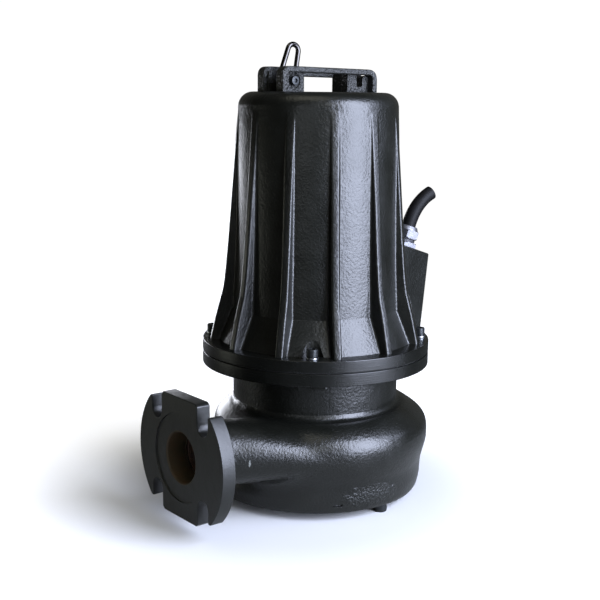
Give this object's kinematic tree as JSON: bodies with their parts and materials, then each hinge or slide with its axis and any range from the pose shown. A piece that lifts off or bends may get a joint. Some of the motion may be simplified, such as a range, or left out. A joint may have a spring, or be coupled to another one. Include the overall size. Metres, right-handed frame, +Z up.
{
  "type": "submersible grinder pump",
  "caption": "Submersible grinder pump with a ribbed bell motor cover, spiral casing, slotted discharge flange, lifting handle and a swinging wire link.",
  "frame": {"origin": "on the floor under the middle of the pump's box, which is 33.3 mm from the motor axis towards the discharge", "axes": "+Z up along the motor axis, -X out of the discharge flange, +X towards the cable side"},
  "size_m": [0.3698, 0.2682, 0.5173],
  "materials": {
    "black_paint": "satin black paint over rough cast iron",
    "dark_screw": "blackened steel, satin",
    "zinc_steel": "zinc plated, satin",
    "link_steel": "drawn wire, bright",
    "tool_steel": "ground",
    "nickel": "nickel plated brass",
    "gasket": "matt",
    "cable_rubber": "matt rubber sheath"
  },
  "bodies": {
    "pump": {"motor_cover": "black_paint", "oil_chamber": "black_paint", "volute_casing": "black_paint", "suction_cover": "black_paint", "handle_bow_front": "black_paint", "handle_bow_rear": "black_paint", "link_cheek_front": "black_paint", "link_cheek_rear": "black_paint", "notched_lug": "black_paint", "flange_gasket": "gasket", "cutter_ring": "tool_steel", "cutter_rotor": "tool_steel", "cutter_screw": "zinc_steel", "foot_screw_1": "dark_screw", "foot_screw_2": "dark_screw", "foot_screw_3": "dark_screw", "flange_screw_1": "zinc_steel", "flange_screw_2": "zinc_steel", "flange_screw_3": "zinc_steel", "flange_screw_4": "zinc_steel", "spring_washer_1": "zinc_steel", "spring_washer_2": "zinc_steel", "spring_washer_3": "zinc_steel", "spring_washer_4": "zinc_steel", "gland_body": "nickel", "gland_nut": "nickel", "power_cable": "cable_rubber", "link_pin": "zinc_steel", "link_pin_nut": "zinc_steel", "link_bush": "zinc_steel"},
    "link": {"lifting_link": "link_steel"}
  },
  "joints": [
    {"name": "link_swing", "type": "hinge", "parent": "pump", "child": "link", "pos_m": [-0.0127, 0.0021, 0.476], "axis": [0, 1, 0], "range_deg": [-94, 66]}
  ]
}
